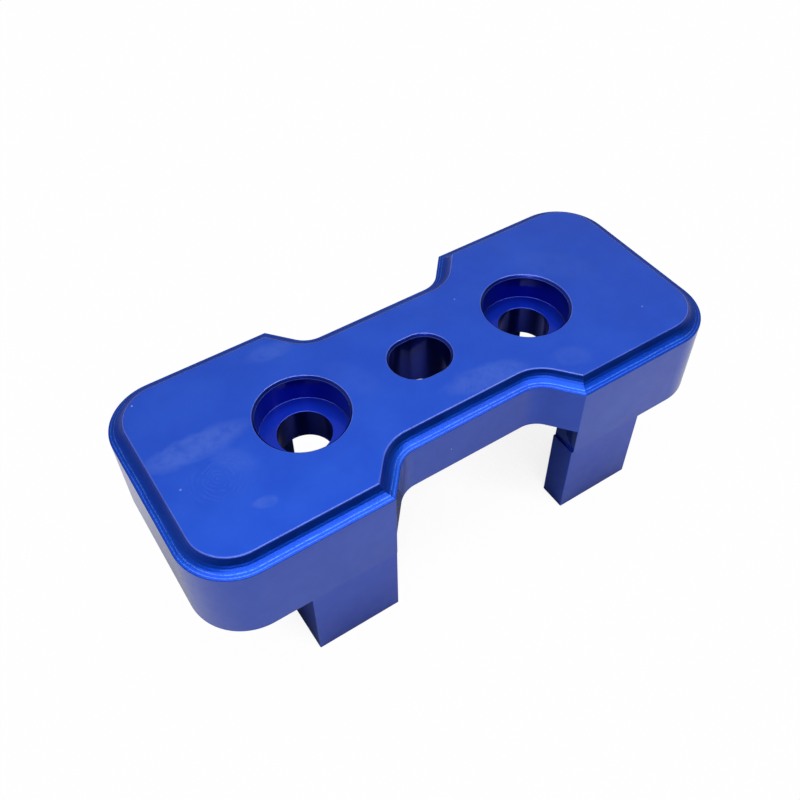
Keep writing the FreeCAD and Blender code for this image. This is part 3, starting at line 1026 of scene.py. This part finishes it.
def mark(kind, tint, x, y, half_length, half_width, amount, **more):
    """The group, the tint and the inputs of one mark."""
    return (kind, tint, {
        "Centre": (x * MM, y * MM, HEIGHT * MM), "Amount": amount,
        "Half_Size": (half_length * MM, half_width * MM, MARK_HALF_HEIGHT * MM), **more})


def smudge(x, y, turn, half_length, half_width, amount):
    return mark("smudge", HAZE, x, y, half_length, half_width, amount, Turn=turn)


def fingertip(x, y, half_length, half_width, amount):
    return mark("fingertip", HAZE, x, y, half_length, half_width, amount)


def dust(x, y, half_size, amount):
    return mark("smudge", DUST, x, y, half_size, half_size, amount)


handling_marks = [
    smudge(-39.5, 3.0, 0.0, 10.0, 3.0, 0.55),
    smudge(-35.5, -2.5, 0.9, 4.5, 2.4, 0.18),
    smudge(-35.2, -12.0, 0.3, 2.4, 1.2, 0.40),
    smudge(6.5, -10.0, 0.15, 8.5, 3.0, 0.45),
    smudge(-20.5, 14.8, 0.1, 4.6, 2.2, 0.32),
    smudge(21.0, -14.0, 0.4, 4.0, 2.6, 0.22),
    smudge(33.0, 6.0, 0.8, 9.0, 4.0, 0.12),
    smudge(-12.0, 2.0, 1.2, 7.0, 3.0, 0.10),
    fingertip(-39.0, -4.5, 6.5, 5.0, 0.15),
    fingertip(5.0, -13.0, 8.0, 5.0, 0.14),
    dust(-44.4, 16.2, 0.20, 0.7),
    dust(-44.6, -3.2, 0.20, 0.6),
    dust(12.8, 8.1, 0.16, 0.7),
    dust(39.0, -11.6, 0.16, 0.7),
]
# Painted glints along the cutter's passes low in the cove.
cove_glints = [("passes", COVE_GLINT, {})]
print("marks on the top face:", len(handling_marks))

# %% The finishes: roughness, roughness of the coat, and grains in a metre
anodise("milled_top", 0.56, 0.10, 9000.0, edge=0.3, marks=handling_marks)
# The cove carries painted glints along its passes.
anodise("milled_cove", 0.42, 0.10, 3600.0, depth=0.8, edge=0.15, coat=0.15, marks=cove_glints)
anodise("milled_walls", 0.52, 0.08, 7000.0)
anodise("milled_legs", 0.50, 0.08, 7000.0, coat=0.85)
# The broken edges' pale blue is partly thinner dye and partly a painted highlight.
anodise("broken_edges", 0.75, 0.12, 5000.0, edge=0.0)
# The bores' finish carries a darker blue as painted shade.
anodise("bored_holes", 0.34, 0.08, 5000.0, stretch=(0.05, 0.05, 1.0), coat=0.4)
anodise("counterbore_floor", 0.44, 0.14, 6000.0, coat=0.5)
anodise("milled_underside", 0.40, 0.15, 6000.0)

# %% [markdown]
# ## Camera
# The view looks down on the block from its front left, close enough for the near end to look larger.
# Blender turns a camera by angles about its own axes, which are hard to read, so a helper builds the
# turn from a bearing, a dip below the horizon and a roll.

# %% The camera, in millimetres and degrees
CAMERA_PLACE = (-58.41, -85.55, 140.27)
CAMERA_BEARING = 32.415
CAMERA_DIP = 48.835
CAMERA_ROLL = -0.9155
LENS = 40.21
SENSOR = 36
NEAREST = 10


def camera_turn(bearing, dip, roll):
    """The camera's rotation: bearing from +Y towards +X, dip below the horizon, and roll."""
    b, d, r = (math.radians(v) for v in (bearing, dip, roll))
    ahead = Vector((math.sin(b) * math.cos(d), math.cos(b) * math.cos(d), -math.sin(d)))
    level = Vector((math.cos(b), -math.sin(b), 0))
    over = level.cross(ahead)
    right = level * math.cos(r) + over * math.sin(r)
    up = right.cross(ahead)
    return Matrix((right, up, -ahead)).transposed().to_4x4()


lens = bpy.data.cameras.new("camera")
lens.lens = LENS
lens.sensor_width = SENSOR
lens.clip_start = NEAREST * MM
camera = add_to_scene("camera", lens)
camera.matrix_world = Matrix.Translation(Vector(CAMERA_PLACE) * MM) @ camera_turn(
    CAMERA_BEARING, CAMERA_DIP, CAMERA_ROLL)
bpy.context.scene.camera = camera
print("camera to block:", round((Vector(CAMERA_PLACE) * MM).length, 3), "m")

# %% [markdown]
# ## The floor
# The block stands on a sheet of white paper. Lit plainly, the paper would be grey to the camera, and
# a lamp strong enough to make it white would burn out the block. So the paper glows white for the
# camera alone and stays a plain grey for all other light, with a little of the glow left for what
# the metal mirrors. Close to the block an ambient occlusion mask darkens both the paper's colour and
# its glow, a painted shadow under and around the block.

# %% The paper
PAPER = (0.50, 0.50, 0.51, 1.0)
# A near black that the paper fades to near the block, a painted shadow.
PAINTED_SHADE_UNDER_BLOCK = (0.04, 0.04, 0.045, 1.0)
WHITE = (1.0, 1.0, 1.0, 1.0)
SHADE_REACH = 0.06
PAPER_CLEARS = (0.28, 0.72)
GLOW_CLEARS = (0.05, 0.35)
GLOW_NEAR_BLOCK = 0.75
GLOW_IN_OPEN = 0.985
GLOW_IN_METAL = 0.12


def seen_straight(nodes, ray):
    """1 for what the camera sees, also through clear things, and 0 for all other light."""
    return math_node(nodes, "MAXIMUM", ray["Is Camera Ray"], ray["Is Transmission Ray"])


def floor_material():
    material = bpy.data.materials.new("floor_paper")
    material.use_nodes = True
    nodes = Nodes(material.node_tree)
    material.node_tree.nodes.remove(material.node_tree.nodes["Principled BSDF"])
    shade = nodes.add("ShaderNodeAmbientOcclusion", {"samples": 8}, Distance=SHADE_REACH)
    open_sky = shade.outputs["AO"]
    clear = ramp(nodes, open_sky, *PAPER_CLEARS)
    # Painted shadow: the paper's colour goes dark where the block is near.
    paper = nodes.add("ShaderNodeBsdfDiffuse", Color=blend(nodes, clear, PAINTED_SHADE_UNDER_BLOCK, PAPER))
    glow = nodes.add("ShaderNodeEmission", Color=WHITE, Strength=1.0)
    ray = nodes.add("ShaderNodeLightPath").outputs
    # Painted shadow in the glow that the camera sees, near the block.
    shown = between(nodes, ramp(nodes, open_sky, *GLOW_CLEARS), GLOW_NEAR_BLOCK, GLOW_IN_OPEN)
    seen = times(nodes, seen_straight(nodes, ray), shown)
    mirrored = times(nodes, ray["Is Glossy Ray"], clear, GLOW_IN_METAL)
    share = math_node(nodes, "MAXIMUM", seen, mirrored)
    mix = nodes.add("ShaderNodeMixShader", i0=share, i1=paper.outputs[0], i2=glow.outputs[0])
    nodes.put(material.node_tree.nodes["Material Output"], "Surface", mix.outputs[0])
    return material


# %% The floor, in metres, a hair below the feet
FLOOR_HALF = 3.0
FLOOR_BOTTOM = -0.01
FLOOR_TOP = -0.00002

floor_mesh = slab("floor", FLOOR_HALF, FLOOR_HALF, (FLOOR_BOTTOM, FLOOR_TOP))
floor_mesh.materials.append(floor_material())
floor = add_to_scene("floor", floor_mesh)
print("floor:", [round(size, 2) for size in floor.dimensions], "m")

# %% [markdown]
# ## The light
# Metal shows what is around it, so the light is mostly surroundings: one broad, soft lamp overhead,
# and a world that is dim in front and paler behind, as if a pale backdrop stood there. The camera
# itself sees the world as plain white.

# %% The lamp, in metres and watts
LAMP_PLACE = Vector((0.0, -0.08, 0.7))
LAMP_AIM = Vector((0.0, 0.0, 0.02))
LAMP_SIZE = 0.8
LAMP_POWER = 6.5

lamp = bpy.data.lights.new("overhead_lamp", "AREA")
lamp.size = LAMP_SIZE
lamp.energy = LAMP_POWER
overhead = add_to_scene("overhead_lamp", lamp)
overhead.location = LAMP_PLACE
overhead.rotation_mode = "QUATERNION"
overhead.rotation_quaternion = (LAMP_AIM - LAMP_PLACE).to_track_quat("-Z", "Y")
print(f"lamp: {lamp.size:.1f} m square, {lamp.energy:.1f} W")

# %% The world
BACKDROP = (-0.5, 0.85)
SIDE_SHARE = 0.5
ROOM_IN_FRONT = 0.05
ROOM_BEHIND = 0.38


def studio_world():
    """An even white to the eye. What it lends to the light is dim in front and paler behind."""
    world = bpy.data.worlds.new("studio")
    world.use_nodes = True
    nodes = Nodes(world.node_tree)
    sky = nodes.add("ShaderNodeTexCoord").outputs["Generated"]
    direction = nodes.add("ShaderNodeSeparateXYZ", Vector=sky).outputs
    aside = times(nodes, math_node(nodes, "ABSOLUTE", direction["X"]), SIDE_SHARE)
    behind = ramp(nodes, math_node(nodes, "ADD", direction["Y"], aside), *BACKDROP)
    room = between(nodes, behind, ROOM_IN_FRONT, ROOM_BEHIND)
    ray = nodes.add("ShaderNodeLightPath").outputs
    background = world.node_tree.nodes["Background"]
    nodes.put(background, "Color", WHITE)
    nodes.put(background, "Strength", between(nodes, seen_straight(nodes, ray), room, 1.0))
    print("world:", len(world.node_tree.nodes), "nodes")
    return world


bpy.context.scene.world = studio_world()
bpy.context.scene.view_settings.view_transform = "Standard"
